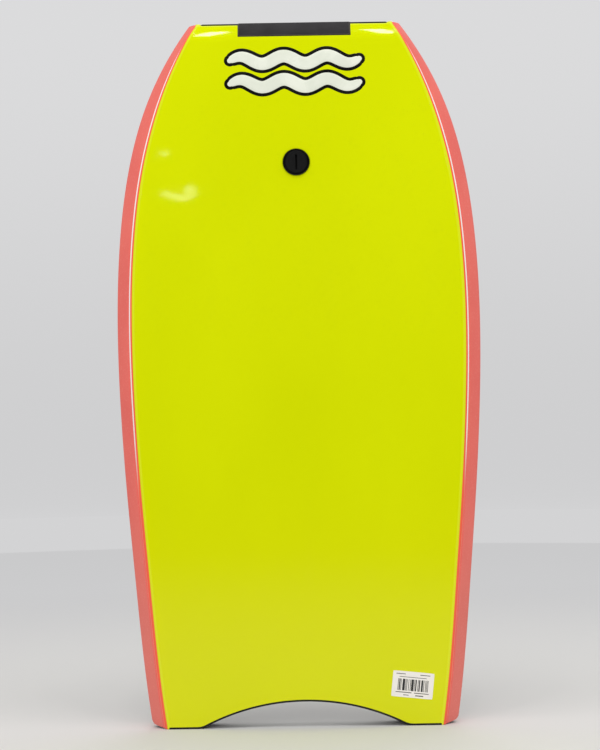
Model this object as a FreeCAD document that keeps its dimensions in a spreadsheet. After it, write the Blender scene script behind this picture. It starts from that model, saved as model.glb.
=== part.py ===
import FreeCAD, Part
import math
import os
import re
import Sketcher

# A 42 inch bodyboard that stands on its tail.
# X runs across the board, Z from the tail to the nose, and the slick side faces -Y.
# The origin is on the floor plane, in the middle of the width and of the depth.
# Left is -X and right is +X, as seen by someone who faces the slick.
# Lengths are in millimetres and angles in degrees.
sizes = {
    # outline, seen from the slick side
    "board_length": 1067,
    "board_width": 550,
    "widest_height": 585,
    "nose_width": 320,
    "tail_width": 462,
    # side view
    "board_thickness": 53,
    "nose_thickness": 44,
    "nose_lift": 45,
    "rocker_length": 587,
    "roll_length": 30,
    "roll_depth": 12,
    # rails
    "apex_height": 25,
    "slick_bevel": 23.5,
    "deck_bevel": 14,
    "nose_bevel": 11.5,
    "bevel_taper_length": 190,
    "rail_thickness": 5,
    "bead_width": 4.5,
    # layers
    "slick_thickness": 2,
    "mesh_thickness": 1,
    "deck_thickness": 4,
    "nose_skin_thickness": 3,
    "tail_skin_thickness": 3,
    # tail
    "crescent_depth": 38.5,
    "crescent_radius": 330,
    "knee_radius": 30,
    "rail_end_angle": 13.5,
    # stringer
    "stringer_radius": 6,
    "stringer_wall": 1.5,
    "stringer_setback": 52,
    "cap_length": 6,
    "spigot_length": 10,
    "spigot_clearance": 0.15,
    "tail_plug_gap": 1,
    # leash plug
    "plug_from_nose": 216.5,
    "seat_depth": 0.8,
    "seat_clearance": 0.5,
    "screw_flange_radius": 20.3,
    "cup_flange_radius": 21,
    "flange_thickness": 3,
    "flange_chamfer": 0.8,
    "rim_width": 3.2,
    "face_recess": 0.7,
    "washer_thickness": 0.8,
    "washer_setback": 0.8,
    "cup_radius": 13,
    "cup_wall": 2.5,
    "cup_depth": 16,
    "cup_floor": 3,
    "boss_radius": 11,
    "boss_standoff": 6,
    "bore_clearance": 0.25,
    "bar_radius": 2,
    "bar_height": 8,
    "bar_end_gap": 0.3,
    "thread_radius": 7.5,
    "thread_pitch": 3,
    "thread_depth": 1,
    "thread_clearance": 0.2,
    "thread_crest": 1.3,
    "thread_flank": 0.4,
    "thread_end_gap": 3.2,
    "slot_length": 23,
    "slot_width": 2.6,
    "slot_depth": 2.2,
    # badge and label
    "badge_width": 172,
    "badge_front": 22,
    "badge_back": 14,
    "badge_thickness": 0.8,
    "label_width": 62,
    "label_height": 39,
    "label_thickness": 0.4,
    "label_inset": 69,
    "label_centre_height": 61,
    "label_tilt": 6.2,
}

# The outline between its named widths, as (share of the height, share of the width gained).
noseOutline = [(0, 0), (0.07, 0.2), (0.25, 0.58), (0.45, 0.82), (0.7, 0.96)]
tailOutline = [(1, 0), (0.83, 0.28), (0.6, 0.55), (0.4, 0.765), (0.2, 0.925)]

overrun = 10    # how far the layers run past both ends before they are trimmed
farAway = 1000  # reach of the cutting tools
evenSteps = 11  # steps between the places where the lines are held, up to the nose's roll
rollSteps = 3   # and over the roll
badgeSteps = 6  # steps over the badge's front

# Places on the leash plug's axis, as expressions on the sheet.
plugShare = "((rocker_length - plug_from_nose) / rocker_length)"
plugLift = f"(nose_lift * {plugShare}^2)"
plugTilt = f"atan(2 * nose_lift * {plugShare} / rocker_length)"
plugThickness = f"(board_thickness - (board_thickness - nose_thickness) * {plugShare}^2)"
plugDeckTilt = f"(2 * (nose_lift - board_thickness + nose_thickness) * {plugShare} / rocker_length)"
depthCentre = "((nose_lift + nose_thickness - label_thickness) / 2)"
deckSeat = f"({plugThickness} / (cos({plugTilt}) + {plugDeckTilt} * sin({plugTilt})) - 2 * seat_depth)"
flangeTop = f"({deckSeat} + washer_thickness + flange_thickness)"
cupFloor = f"({flangeTop} - cup_depth)"
boreTop = f"({cupFloor} - cup_floor)"
threadRoot = "(thread_radius - thread_depth)"

document = FreeCAD.newDocument("Bodyboard")
sheet = document.addObject("Spreadsheet::Sheet", "Sizes")
for row, (name, number) in enumerate(sizes.items(), start=1):
    sheet.set(f"A{row}", name)
    sheet.set(f"B{row}", str(number))
    sheet.setAlias(f"B{row}", name)
document.recompute()


def onSheet(expression):
    """Name the sheet in front of each size in an expression."""
    return re.sub(r"\b([a-z]+(?:_[a-z]+)+)\b", r"Sizes.\1", expression)


def value(expression):
    result = sheet.evalExpression(onSheet(expression))
    return float(getattr(result, "Value", result))


def bind(target, path, expression):
    target.setExpression(path, onSheet(expression))


def vector(x, y, z):
    return FreeCAD.Vector(x, y, z)


# ---- sketches and bodies ----

def makeBody(name, placement):
    """An empty body. The placement maps paths such as Base.z to expressions."""
    body = document.addObject("PartDesign::Body", name)
    body.Label = name
    for path, expression in placement.items():
        bind(body, f"Placement.{path}", expression)
    return body


def makeSketch(body, name, role):
    sketch = body.newObject("Sketcher::SketchObject", name)
    plane = [item for item in body.Origin.OriginFeatures if item.Role == role][0]
    sketch.AttachmentSupport = [(plane, "")]
    sketch.MapMode = "FlatFace"
    return sketch


def constrain(sketch, kind, geometry, point, expression):
    """Hold one coordinate of a point to an expression."""
    number = value(expression)
    if abs(number) < 1e-9 and expression == "0":
        axis = -2 if kind == "DistanceX" else -1
        sketch.addConstraint(Sketcher.Constraint("PointOnObject", geometry, point, axis))
        return
    index = sketch.addConstraint(Sketcher.Constraint(kind, -1, 1, geometry, point, number))
    bind(sketch, f"Constraints[{index}]", expression)


def outline(body, name, role, corners):
    """A closed sketch of straight lines through corners given as pairs of expressions."""
    sketch = makeSketch(body, name, role)
    points = [vector(value(across), value(up), 0) for across, up in corners]
    following = points[1:] + points[:1]
    for start, end in zip(points, following):
        sketch.addGeometry(Part.LineSegment(start, end), False)
    for index in range(len(points)):
        after = (index + 1) % len(points)
        sketch.addConstraint(Sketcher.Constraint("Coincident", index, 2, after, 1))
    for index, (across, up) in enumerate(corners):
        constrain(sketch, "DistanceX", index, 1, across)
        constrain(sketch, "DistanceY", index, 1, up)
    return sketch


def circles(body, name, role, radii, up="0"):
    """A sketch of circles about one centre on the sketch's upright axis."""
    sketch = makeSketch(body, name, role)
    for index, radius in enumerate(radii):
        centre = vector(0, value(up), 0)
        sketch.addGeometry(Part.Circle(centre, vector(0, 0, 1), value(radius)), False)
        constrain(sketch, "DistanceX", index, 3, "0")
        constrain(sketch, "DistanceY", index, 3, up)
        size = sketch.addConstraint(Sketcher.Constraint("Radius", index, value(radius)))
        bind(sketch, f"Constraints[{size}]", radius)
    return sketch


def revolve(body, profile):
    feature = body.newObject("PartDesign::Revolution", f"{profile.Name}_turned")
    feature.Profile = profile
    feature.ReferenceAxis = (profile, ["V_Axis"])
    feature.Angle = 360
    return feature


def pad(body, profile, length):
    feature = body.newObject("PartDesign::Pad", f"{profile.Name}_pad")
    feature.Profile = profile
    bind(feature, "Length", length)
    return feature


def thread(body, profile, height):
    """A helical groove up the body's Z axis, with the profile as its section."""
    feature = body.newObject("PartDesign::SubtractiveHelix", f"{profile.Name}_cut")
    feature.Profile = profile
    feature.ReferenceAxis = (profile, ["V_Axis"])
    feature.Mode = 0
    bind(feature, "Pitch", "thread_pitch")
    bind(feature, "Height", height)
    return feature


# ---- lines along the board ----

def side(height):
    """How far a height is into the rocker: 0 at its start and 1 at the nose."""
    into = height - value("board_length") + value("rocker_length")
    return max(0, into / value("rocker_length"))


def rockerDepth(height):
    return value("nose_lift") * side(height) ** 2 - value(depthCentre)


def thickness(height):
    lost = value("board_thickness") - value("nose_thickness")
    return value("board_thickness") - lost * side(height) ** 2


def slickDepth(height):
    """The slick face, which rolls off to the deck side just before the nose."""
    into = height - value("board_length") + value("roll_length")
    roll = value("roll_depth") * max(0, into / value("roll_length")) ** 2
    return rockerDepth(height) + roll


def apexDepth(height):
    share = value("apex_height") / value("board_thickness")
    return rockerDepth(height) + share * thickness(height)


def deckDepth(height):
    return rockerDepth(height) + thickness(height)


def smoothCurve(points, parameters):
    curve = Part.BSplineCurve()
    curve.interpolate(Points=points, Parameters=parameters)
    return curve


def outlineCurve():
    """Half the board's width at its widest line, as a curve over the height."""
    length = value("board_length")
    widest = value("widest_height")
    middle = value("board_width") / 2
    nose = value("nose_width") / 2
    tail = value("tail_width") / 2
    points = [(length - share * (length - widest), nose + gain * (middle - nose))
              for share, gain in noseOutline]
    points += [(widest * (1 - share), tail + gain * (middle - tail))
               for share, gain in tailOutline]
    points.append((widest, middle))
    points.sort()
    heights = [height for height, half in points]
    return smoothCurve([vector(half, 0, height) for height, half in points], heights)


halfWidth = outlineCurve()


def apexHalf(height):
    """Past the two ends the outline runs on straight."""
    inside = min(max(height, 0), value("board_length"))
    slope = halfWidth.tangent(inside)[0]
    return halfWidth.value(inside).x + (height - inside) * slope.x / slope.z


def bevel(full, height):
    """A bevel's width, which shrinks towards the nose."""
    left = (value("board_length") - height) / value("bevel_taper_length")
    kept = 1 - (1 - min(max(left, 0), 1)) ** 2
    return value("nose_bevel") + kept * (value(full) - value("nose_bevel"))


def slickHalf(height):
    return apexHalf(height) - bevel("slick_bevel", height)


def deckHalf(height):
    return apexHalf(height) - bevel("deck_bevel", height)


def shareOfBead(low, high):
    return low + (high - low) * value("bead_width") / value("slick_bevel")


def innerDepth(height):
    return slickDepth(height) + value("slick_thickness + mesh_thickness")


def innerApex(height):
    return apexHalf(height) - value("rail_thickness")


# Each line along one side of the board: its half width and its depth at a height.
lines = {
    "slick": (slickHalf, slickDepth),
    "slickInner": (slickHalf, lambda height: slickDepth(height) + value("slick_thickness")),
    "meshInner": (slickHalf, innerDepth),
    "bead": (lambda height: shareOfBead(slickHalf(height), apexHalf(height)),
             lambda height: shareOfBead(slickDepth(height), apexDepth(height))),
    "beadInner": (lambda height: shareOfBead(slickHalf(height), innerApex(height)),
                  lambda height: shareOfBead(innerDepth(height), apexDepth(height))),
    "apex": (apexHalf, apexDepth),
    "apexInner": (innerApex, apexDepth),
    "deck": (deckHalf, deckDepth),
    "deckInner": (deckHalf, lambda height: deckDepth(height) - value("deck_thickness")),
}


def sectionHeights():
    """Heights where the lines are held: even along the board, closer where the nose rolls off."""
    length = value("board_length")
    start = length - value("roll_length")
    even = [-overrun + (start + overrun) * step / evenSteps for step in range(evenSteps + 1)]
    close = [start + value("roll_length") * step / rollSteps for step in range(1, rollSteps + 1)]
    return even + close + [length + overrun]


heights = sectionHeights()


def edgeAlong(name, hand):
    """The edge along one line: hand is -1 on the left, 0 in the middle and 1 on the right."""
    half, depth = lines[name]
    points = [vector(hand * half(height), depth(height), height) for height in heights]
    return smoothCurve(points, heights).toShape()


def layer(corners):
    """A solid whose section has the named lines as its corners, given as (line, hand)."""
    edges = [edgeAlong(name, hand) for name, hand in corners]
    faces = [Part.makeRuledSurface(first, second)
             for first, second in zip(edges, edges[1:] + edges[:1])]
    for end in (0, -1):
        points = [edge.Vertexes[end].Point for edge in edges]
        faces.append(Part.Face(Part.makePolygon(points + points[:1])))
    shell = Part.Shell(faces)
    shell.sewShape()
    return Part.makeSolid(shell)


def bothSides(names):
    """The corners of a layer that crosses the board, with its two wide faces split in the middle."""
    right = [(name, 1) for name in names]
    left = [(name, -1) for name in reversed(names)]
    return right + [(names[-1], 0)] + left + [(names[0], 0)]


# ---- trimming tools ----

def upright(edges, depth=2 * farAway):
    """A solid from a closed outline in the XZ plane, pushed through the board."""
    face = Part.Face(Part.Wire(Part.__sortEdges__(edges)))
    face.translate(vector(0, -depth / 2, 0))
    return face.extrude(vector(0, depth, 0))


def belowTail(offset):
    """Everything under the tail's edge, or under a line set into the board from it."""
    radius = value("crescent_radius")
    knee = value("knee_radius")
    angle = math.radians(value("rail_end_angle"))
    centre = vector(0, 0, value("crescent_depth") - radius)
    reach = math.sqrt((radius + knee) ** 2 - (knee - centre.z) ** 2)
    corner = slickHalf(0) - offset * math.tan(angle / 2)
    edges = []
    for hand in (-1, 1):
        kneeCentre = vector(hand * reach, 0, knee)
        towards = (centre - kneeCentre).normalize()
        bisector = (towards + vector(0, 0, -1)).normalize()
        flatEnd = kneeCentre + vector(0, 0, offset - knee)
        arcEnd = kneeCentre + towards * (knee - offset)
        kneeMiddle = kneeCentre + bisector * (knee - offset)
        start = vector(hand * corner, 0, offset)
        out = start + vector(hand * math.cos(angle), 0, math.sin(angle)) * farAway
        down = vector(out.x, 0, -farAway)
        edges.append(Part.makeLine(down, out))
        edges.append(Part.makeLine(out, start))
        edges.append(Part.makeLine(start, flatEnd))
        edges.append(Part.Arc(flatEnd, kneeMiddle, arcEnd).toShape())
        if hand < 0:
            leftEnd = arcEnd
            leftDown = down
    top = vector(0, 0, value("crescent_depth") + offset)
    edges.append(Part.Arc(leftEnd, top, arcEnd).toShape())
    edges.append(Part.makeLine(leftDown, down))
    return upright(edges)


def noseFrame(offset):
    """A point on the nose end plane, set into the board by an offset, and its directions."""
    angle = math.atan(2 * value("nose_lift") / value("rocker_length"))
    back = vector(0, math.cos(angle), -math.sin(angle))
    out = vector(0, math.sin(angle), math.cos(angle))
    length = value("board_length")
    return vector(0, slickDepth(length), length) - out * offset, back, out


def aboveNose(offset):
    """Everything past the nose end plane."""
    point, back, out = noseFrame(offset)
    corners = [point - back * farAway, point + back * farAway]
    corners += [corners[1] + out * farAway, corners[0] + out * farAway]
    face = Part.Face(Part.makePolygon(corners + corners[:1]))
    face.translate(vector(-farAway, 0, 0))
    return face.extrude(vector(2 * farAway, 0, 0))


def plugAxis():
    """The leash plug's origin on its slick seat, and its direction into the board."""
    tilt = math.radians(value(plugTilt))
    inward = vector(0, math.cos(tilt), -math.sin(tilt))
    height = value("board_length - plug_from_nose")
    surface = vector(0, value(f"{plugLift} - {depthCentre}"), height)
    return surface + inward * value("seat_depth"), inward


def plugCylinder(radius, start, end):
    seat, inward = plugAxis()
    low = value(start)
    return Part.makeCylinder(value(radius), value(end) - low, seat + inward * low, inward)


def plugHole():
    """The stepped hole through the board, with a flat seat on each face."""
    step = f"{boreTop} - bore_clearance"
    outside = f"{deckSeat} + {plugThickness}"
    hole = plugCylinder("boss_radius + bore_clearance", f"-{plugThickness}", outside)
    hole = hole.fuse(plugCylinder("cup_radius + bore_clearance", step, outside))
    hole = hole.fuse(plugCylinder("screw_flange_radius + seat_clearance", f"-{plugThickness}", "0"))
    return hole.fuse(plugCylinder("cup_flange_radius + seat_clearance", deckSeat, outside))


def stringerHeights():
    """Where the tail plug, the tube and the nose cap end, from the tail up."""
    low = value("crescent_depth + tail_skin_thickness + tail_plug_gap")
    high = value("board_length - plug_from_nose - stringer_setback")
    return low, low + value("cap_length"), high - value("cap_length"), high


# ---- the foam, skins and rails ----

def addShape(name, shape):
    """A sub-part whose curved faces are shared with its neighbours' faces."""
    feature = document.addObject("Part::Feature", name)
    feature.Label = name
    feature.Shape = shape
    feature.Placement = FreeCAD.Placement()
    return feature


railCut = belowTail(0).fuse(aboveNose(0))
skinCut = belowTail(value("tail_skin_thickness")).fuse(aboveNose(value("nose_skin_thickness")))
holeCut = plugHole()
section = bothSides(["slick", "meshInner", "apexInner", "deckInner", "deck"])


def addCore():
    bore = Part.makeCylinder(value("stringer_radius"), stringerHeights()[3] + farAway,
                             vector(0, value(f"board_thickness / 2 - {depthCentre}"), -farAway))
    blank = layer(bothSides(["meshInner", "apexInner", "deckInner"]))
    addShape("core", blank.cut([skinCut, holeCut, bore]))


def addSheet(name, outer, inner):
    addShape(name, layer(bothSides([outer, inner])).cut([skinCut, holeCut]))


def addRail(name, hand, names):
    addShape(name, layer([(line, hand) for line in names]).cut(railCut))


def addNoseSkin():
    inside = layer(section).common(aboveNose(value("nose_skin_thickness")))
    addShape("nose_skin", inside.cut(aboveNose(0)))


def addTailSkin():
    inside = layer(section).common(belowTail(value("tail_skin_thickness")))
    addShape("tail_skin", inside.cut(belowTail(0)))


def addNoseBadge():
    """A thin strip bent over the nose edge, on the slick face and on the nose skin."""
    length = value("board_length")
    thin = value("badge_thickness")
    bottom = length - value("badge_front")
    corner, back, out = noseFrame(0)
    edge = smoothCurve([vector(0, slickDepth(height), height) for height in heights], heights)
    inner = edge.copy()
    inner.segment(bottom, length)
    outerPoints = []
    for step in range(badgeSteps + 1):
        height = bottom + (length - bottom) * step / badgeSteps
        along = edge.tangent(height)[0]
        outerPoints.append(edge.value(height) + vector(0, -along.z, along.y) * thin)
    outer = Part.BSplineCurve()
    outer.interpolate(Points=outerPoints)
    innerBack = corner + back * value("badge_back")
    outerBack = innerBack + out * thin
    along = edge.tangent(length)[0]
    turn = outerPoints[-1] + along * ((thin - (outerPoints[-1] - corner).dot(out)) / along.dot(out))
    edges = [inner.toShape(), outer.toShape(), Part.makeLine(outerPoints[0], edge.value(bottom)),
             Part.makeLine(corner, innerBack), Part.makeLine(innerBack, outerBack),
             Part.makeLine(outerBack, turn), Part.makeLine(turn, outerPoints[-1])]
    face = Part.Face(Part.Wire(Part.__sortEdges__(edges)))
    width = value("badge_width")
    face.translate(vector(-width / 2, 0, 0))
    addShape("nose_badge", face.extrude(vector(width, 0, 0)))


# ---- bodies with features ----

plugPlacement = {
    "Base.y": f"{plugLift} - {depthCentre} + seat_depth * cos({plugTilt})",
    "Base.z": f"board_length - plug_from_nose - seat_depth * sin({plugTilt})",
    "Rotation.Angle": f"-90 deg - {plugTilt}",
}


def plugBody(name):
    """A body whose Z axis is the leash plug's axis into the board, from the slick seat."""
    body = makeBody(name, {})
    body.Placement.Rotation = FreeCAD.Rotation(vector(1, 0, 0), -90)
    for path, expression in plugPlacement.items():
        bind(body, f"Placement.{path}", expression)
    return body


def addWasher(name, inner, outer, start):
    body = plugBody(name)
    ring = outline(body, f"{name}_section", "XZ_Plane", [
        (inner, start),
        (outer, start),
        (outer, f"{start} + washer_thickness"),
        (inner, f"{start} + washer_thickness"),
    ])
    revolve(body, ring)


def threadProfile(body, name, nearRadius, farRadius, half, height):
    """A groove's section: half gives its half width at a radius."""
    return outline(body, name, "XZ_Plane", [
        (nearRadius, f"{height} - ({half(nearRadius)})"),
        (farRadius, f"{height} - ({half(farRadius)})"),
        (farRadius, f"{height} + ({half(farRadius)})"),
        (nearRadius, f"{height} + ({half(nearRadius)})"),
    ])


def ridgeHalf(radius):
    """Half the screw thread's ridge at a radius."""
    return f"thread_crest / 2 + (thread_radius - {radius}) * thread_flank"


def addScrew():
    body = plugBody("leash_plug_screw")
    front = "(-washer_thickness - flange_thickness)"
    end = f"({boreTop} - thread_end_gap)"
    threadStart = "(boss_standoff + thread_pitch / 2)"
    face = f"({front} + face_recess)"
    turned = outline(body, "screw_section", "XZ_Plane", [
        ("0", face),
        ("screw_flange_radius - rim_width - face_recess", face),
        ("screw_flange_radius - rim_width", front),
        ("screw_flange_radius - flange_chamfer", front),
        ("screw_flange_radius", f"{front} + flange_chamfer"),
        ("screw_flange_radius", "-washer_thickness"),
        (threadRoot, "-washer_thickness"),
        (threadRoot, threadStart),
        ("thread_radius", f"{threadStart} + thread_depth"),
        ("thread_radius", f"{end} - thread_depth"),
        (threadRoot, end),
        ("0", end),
    ])
    revolve(body, turned)
    groove = threadProfile(body, "screw_thread", threadRoot, "(thread_radius + thread_depth)",
                           lambda radius: f"thread_pitch / 2 - ({ridgeHalf(radius)})",
                           "boss_standoff")
    thread(body, groove, f"{end} - boss_standoff + thread_pitch")
    slot = outline(body, "coin_slot", "XY_Plane", [
        ("-slot_width / 2", "-slot_length / 2"),
        ("slot_width / 2", "-slot_length / 2"),
        ("slot_width / 2", "slot_length / 2"),
        ("-slot_width / 2", "slot_length / 2"),
    ])
    bind(slot, "AttachmentOffset.Base.z", f"{front} + slot_depth")
    cut = body.newObject("PartDesign::Pocket", "coin_slot_cut")
    cut.Profile = slot
    cut.Reversed = False
    bind(cut, "Length", "slot_depth + flange_thickness")
    return body


def addCup():
    body = plugBody("leash_plug_cup")
    start = f"({deckSeat} + washer_thickness)"
    boreRadius = "(thread_radius - thread_depth + thread_clearance)"
    turned = outline(body, "cup_section", "XZ_Plane", [
        (boreRadius, "boss_standoff"),
        ("boss_radius", "boss_standoff"),
        ("boss_radius", boreTop),
        ("cup_radius", boreTop),
        ("cup_radius", start),
        ("cup_flange_radius", start),
        ("cup_flange_radius", f"{flangeTop} - flange_chamfer"),
        ("cup_flange_radius - flange_chamfer", flangeTop),
        ("cup_radius - cup_wall", flangeTop),
        ("cup_radius - cup_wall", cupFloor),
        ("0", cupFloor),
        ("0", boreTop),
        (boreRadius, boreTop),
    ])
    revolve(body, turned)
    nearRadius = "(thread_radius - thread_depth)"
    farRadius = "(thread_radius + thread_clearance)"
    groove = threadProfile(body, "cup_thread", nearRadius, farRadius,
                           lambda radius: f"{ridgeHalf(radius)} + thread_clearance",
                           "boss_standoff - thread_pitch / 2")
    thread(body, groove, f"{boreTop} - boss_standoff")
    ends = circles(body, "bar_holes", "YZ_Plane", ["bar_radius"], f"{cupFloor} + bar_height")
    cut = body.newObject("PartDesign::Pocket", "bar_holes_cut")
    cut.Profile = ends
    cut.Type = 1
    cut.Midplane = True
    return body


def addBar():
    body = plugBody("leash_bar")
    ends = circles(body, "bar_section", "YZ_Plane", ["bar_radius"], f"{cupFloor} + bar_height")
    pad(body, ends, "2 * (cup_radius - bar_end_gap)").Midplane = True


def addTube():
    low = "(crescent_depth + tail_skin_thickness + tail_plug_gap + cap_length)"
    high = "(board_length - plug_from_nose - stringer_setback - cap_length)"
    body = makeBody("stringer_tube", {
        "Base.y": f"board_thickness / 2 - {depthCentre}",
        "Base.z": low,
    })
    ring = circles(body, "tube_section", "XY_Plane", ["stringer_radius", "stringer_radius - stringer_wall"])
    pad(body, ring, f"{high} - {low}")


def addCap(name, base, hand):
    """A cap with a spigot in the tube. Its Z axis runs out of the tube where hand is 1."""
    body = makeBody(name, {"Base.y": f"board_thickness / 2 - {depthCentre}", "Base.z": base})
    spigot = "(stringer_radius - stringer_wall - spigot_clearance)"
    turned = outline(body, f"{name}_section", "XZ_Plane", [
        ("0", f"{-hand} * spigot_length"),
        (spigot, f"{-hand} * spigot_length"),
        (spigot, "0"),
        ("stringer_radius", "0"),
        ("stringer_radius", f"{hand} * cap_length"),
        ("0", f"{hand} * cap_length"),
    ])
    revolve(body, turned)


def addLabel():
    body = makeBody("barcode_label", {})
    body.Placement.Rotation = FreeCAD.Rotation(vector(0, 1, 0), 1)
    bind(body, "Placement.Base.x", "tail_width / 2 - label_inset")
    bind(body, "Placement.Base.y", f"-{depthCentre}")
    bind(body, "Placement.Base.z", "label_centre_height")
    bind(body, "Placement.Rotation.Angle", "label_tilt")
    corners = [("-label_width / 2", "-label_height / 2"), ("label_width / 2", "-label_height / 2"),
               ("label_width / 2", "label_height / 2"), ("-label_width / 2", "label_height / 2")]
    pad(body, outline(body, "label_outline", "XZ_Plane", corners), "label_thickness")


def addParts():
    addCore()
    addSheet("core_mesh", "slickInner", "meshInner")
    addSheet("slick_skin", "slick", "slickInner")
    addSheet("deck_skin", "deck", "deckInner")
    for sideName, hand in (("left", -1), ("right", 1)):
        addRail(f"edge_bead_{sideName}", hand, ["slick", "bead", "beadInner", "meshInner"])
        addRail(f"lower_rail_{sideName}", hand, ["bead", "apex", "apexInner", "beadInner"])
        addRail(f"upper_rail_{sideName}", hand, ["apex", "deck", "deckInner", "apexInner"])
    addNoseSkin()
    addTailSkin()
    addNoseBadge()
    addTube()
    addCap("stringer_tail_plug", "crescent_depth + tail_skin_thickness + tail_plug_gap + cap_length", -1)
    addCap("stringer_nose_cap", "board_length - plug_from_nose - stringer_setback - cap_length", 1)
    addScrew()
    addCup()
    addBar()
    addWasher("leash_plug_slick_washer", "thread_radius + washer_setback",
              "screw_flange_radius - washer_setback", "-washer_thickness")
    addWasher("leash_plug_deck_washer", "cup_radius + washer_setback",
              "cup_flange_radius - washer_setback", deckSeat)
    addLabel()
    document.recompute()


def check(part):
    """Stop if a part, or a feature it is built from, has failed."""
    for feature in [part] + list(getattr(part, "Group", [])):
        if "Invalid" in feature.State or "Error" in feature.State:
            raise RuntimeError(f"{feature.Label} failed: {feature.State}")
    if part.Shape.isNull() or not part.Shape.isValid():
        raise RuntimeError(f"{part.Label} has no valid shape")


addParts()
os.makedirs("parts", exist_ok=True)
parts = [item for item in document.Objects if item.TypeId in ("PartDesign::Body", "Part::Feature")]
for part in parts:
    check(part)
    box = part.Shape.optimalBoundingBox(False, False)
    print(part.Label, len(part.Shape.Solids), "solid,", round(part.Shape.Volume), "mm3, z",
          round(box.ZMin, 1), "to", round(box.ZMax, 1))
for part in parts:
    part.Shape.exportStep(f"parts/{part.Label}.step")
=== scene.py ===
import math

import bmesh
import bpy
import numpy
from mathutils import Matrix, Vector


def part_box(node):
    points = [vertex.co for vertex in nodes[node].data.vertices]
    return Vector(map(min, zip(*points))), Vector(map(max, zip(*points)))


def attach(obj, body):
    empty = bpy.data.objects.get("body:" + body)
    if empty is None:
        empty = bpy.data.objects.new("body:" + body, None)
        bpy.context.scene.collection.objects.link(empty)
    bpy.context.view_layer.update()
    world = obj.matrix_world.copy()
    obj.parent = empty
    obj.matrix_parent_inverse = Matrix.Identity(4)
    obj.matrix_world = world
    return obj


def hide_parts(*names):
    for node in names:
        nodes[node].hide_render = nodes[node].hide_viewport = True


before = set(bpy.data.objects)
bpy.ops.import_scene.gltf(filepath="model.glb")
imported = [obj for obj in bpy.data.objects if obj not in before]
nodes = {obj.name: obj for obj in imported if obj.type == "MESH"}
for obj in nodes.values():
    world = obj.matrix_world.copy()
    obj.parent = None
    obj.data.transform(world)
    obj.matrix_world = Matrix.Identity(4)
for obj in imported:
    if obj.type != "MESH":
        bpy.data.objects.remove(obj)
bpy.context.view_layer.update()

scene = bpy.context.scene


# the board's own lines, in metres, the same as in the solids

board = {
    "length": 1.067,
    "width": 0.550,
    "widest": 0.585,    # height of the widest place
    "noseWidth": 0.320,
    "tailWidth": 0.462,
    "thickness": 0.053,
    "noseThickness": 0.044,
    "noseLift": 0.045,
    "rocker": 0.587,    # length of the bend that lifts the nose
    "roll": 0.030,      # length of the roll back at its end
    "rollDepth": 0.012,
    "apex": 0.025,      # from the slick to the rails' outer edge
    "slickBevel": 0.0235,
    "deckBevel": 0.014,
    "noseBevel": 0.0115,
    "bevelTaper": 0.190,
    "rail": 0.005,
    "bead": 0.0045,
    "slick": 0.002,
    "net": 0.001,
    "deck": 0.004,
    "noseSkin": 0.003,
    "tailSkin": 0.003,
    "crescent": 0.0385,
    "crescentRadius": 0.330,
    "knee": 0.030,      # radius between the crescent and the flats
    "railEnd": math.radians(13.5),
    "slickPlane": -0.0443,
}

# the outline between its named widths, as (share of the height, share of the width gained)
noseOutline = [(0, 0), (0.07, 0.2), (0.25, 0.58), (0.45, 0.82), (0.7, 0.96)]
tailOutline = [(1, 0), (0.83, 0.28), (0.6, 0.55), (0.4, 0.765), (0.2, 0.925)]


def smoothLine(at, values):
    # a cubic line through values at rising heights, even to its second slope
    at = numpy.array(at, float)
    values = numpy.array(values, float)
    count = len(at)
    steps = numpy.diff(at)
    table = numpy.zeros((count, count))
    right = numpy.zeros(count)
    table[0, 0] = table[-1, -1] = 1
    right[0] = numpy.polyfit(at[:4] - at[0], values[:4], 3)[2]
    right[-1] = numpy.polyfit(at[-4:] - at[-1], values[-4:], 3)[2]
    for k in range(1, count - 1):
        before, after = steps[k - 1], steps[k]
        table[k, k - 1] = after
        table[k, k] = 2 * (before + after)
        table[k, k + 1] = before
        rise = after * (values[k] - values[k - 1]) / before
        right[k] = 3 * (rise + before * (values[k + 1] - values[k]) / after)
    slopes = numpy.linalg.solve(table, right)

    def line(height):
        inside = min(max(height, at[0]), at[-1])
        k = min(int(numpy.searchsorted(at, inside, side="right")) - 1, count - 2)
        step = steps[k]
        t = (inside - at[k]) / step
        first = (1 + 2 * t) * (1 - t) ** 2 * values[k] + t * (1 - t) ** 2 * step * slopes[k]
        second = t * t * (3 - 2 * t) * values[k + 1] + t * t * (t - 1) * step * slopes[k + 1]
        end = slopes[0] if height < at[0] else slopes[-1]
        return float(first + second + (height - inside) * end)

    return line


def outlineLine():
    length, widest = board["length"], board["widest"]
    middle, nose, tail = board["width"] / 2, board["noseWidth"] / 2, board["tailWidth"] / 2
    points = [(length - share * (length - widest), nose + gain * (middle - nose))
              for share, gain in noseOutline]
    points += [(widest * (1 - share), tail + gain * (middle - tail)) for share, gain in tailOutline]
    points.append((widest, middle))
    points.sort()
    return smoothLine([p[0] for p in points], [p[1] for p in points])


apexHalf = outlineLine()


def intoRocker(height):
    return max(0, (height - board["length"] + board["rocker"]) / board["rocker"])


def slickDepth(height):
    roll = max(0, (height - board["length"] + board["roll"]) / board["roll"])
    rocker = board["noseLift"] * intoRocker(height) ** 2
    return rocker + board["slickPlane"] + board["rollDepth"] * roll ** 2


def thicknessAt(height):
    lost = board["thickness"] - board["noseThickness"]
    return board["thickness"] - lost * intoRocker(height) ** 2


def deckDepth(height):
    return board["noseLift"] * intoRocker(height) ** 2 + board["slickPlane"] + thicknessAt(height)


def apexDepth(height):
    return deckDepth(height) - (1 - board["apex"] / board["thickness"]) * thicknessAt(height)


def bevelAt(full, height):
    left = min(max((board["length"] - height) / board["bevelTaper"], 0), 1)
    return board["noseBevel"] + (1 - (1 - left) ** 2) * (full - board["noseBevel"])


def slickHalf(height):
    return apexHalf(height) - bevelAt(board["slickBevel"], height)


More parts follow.
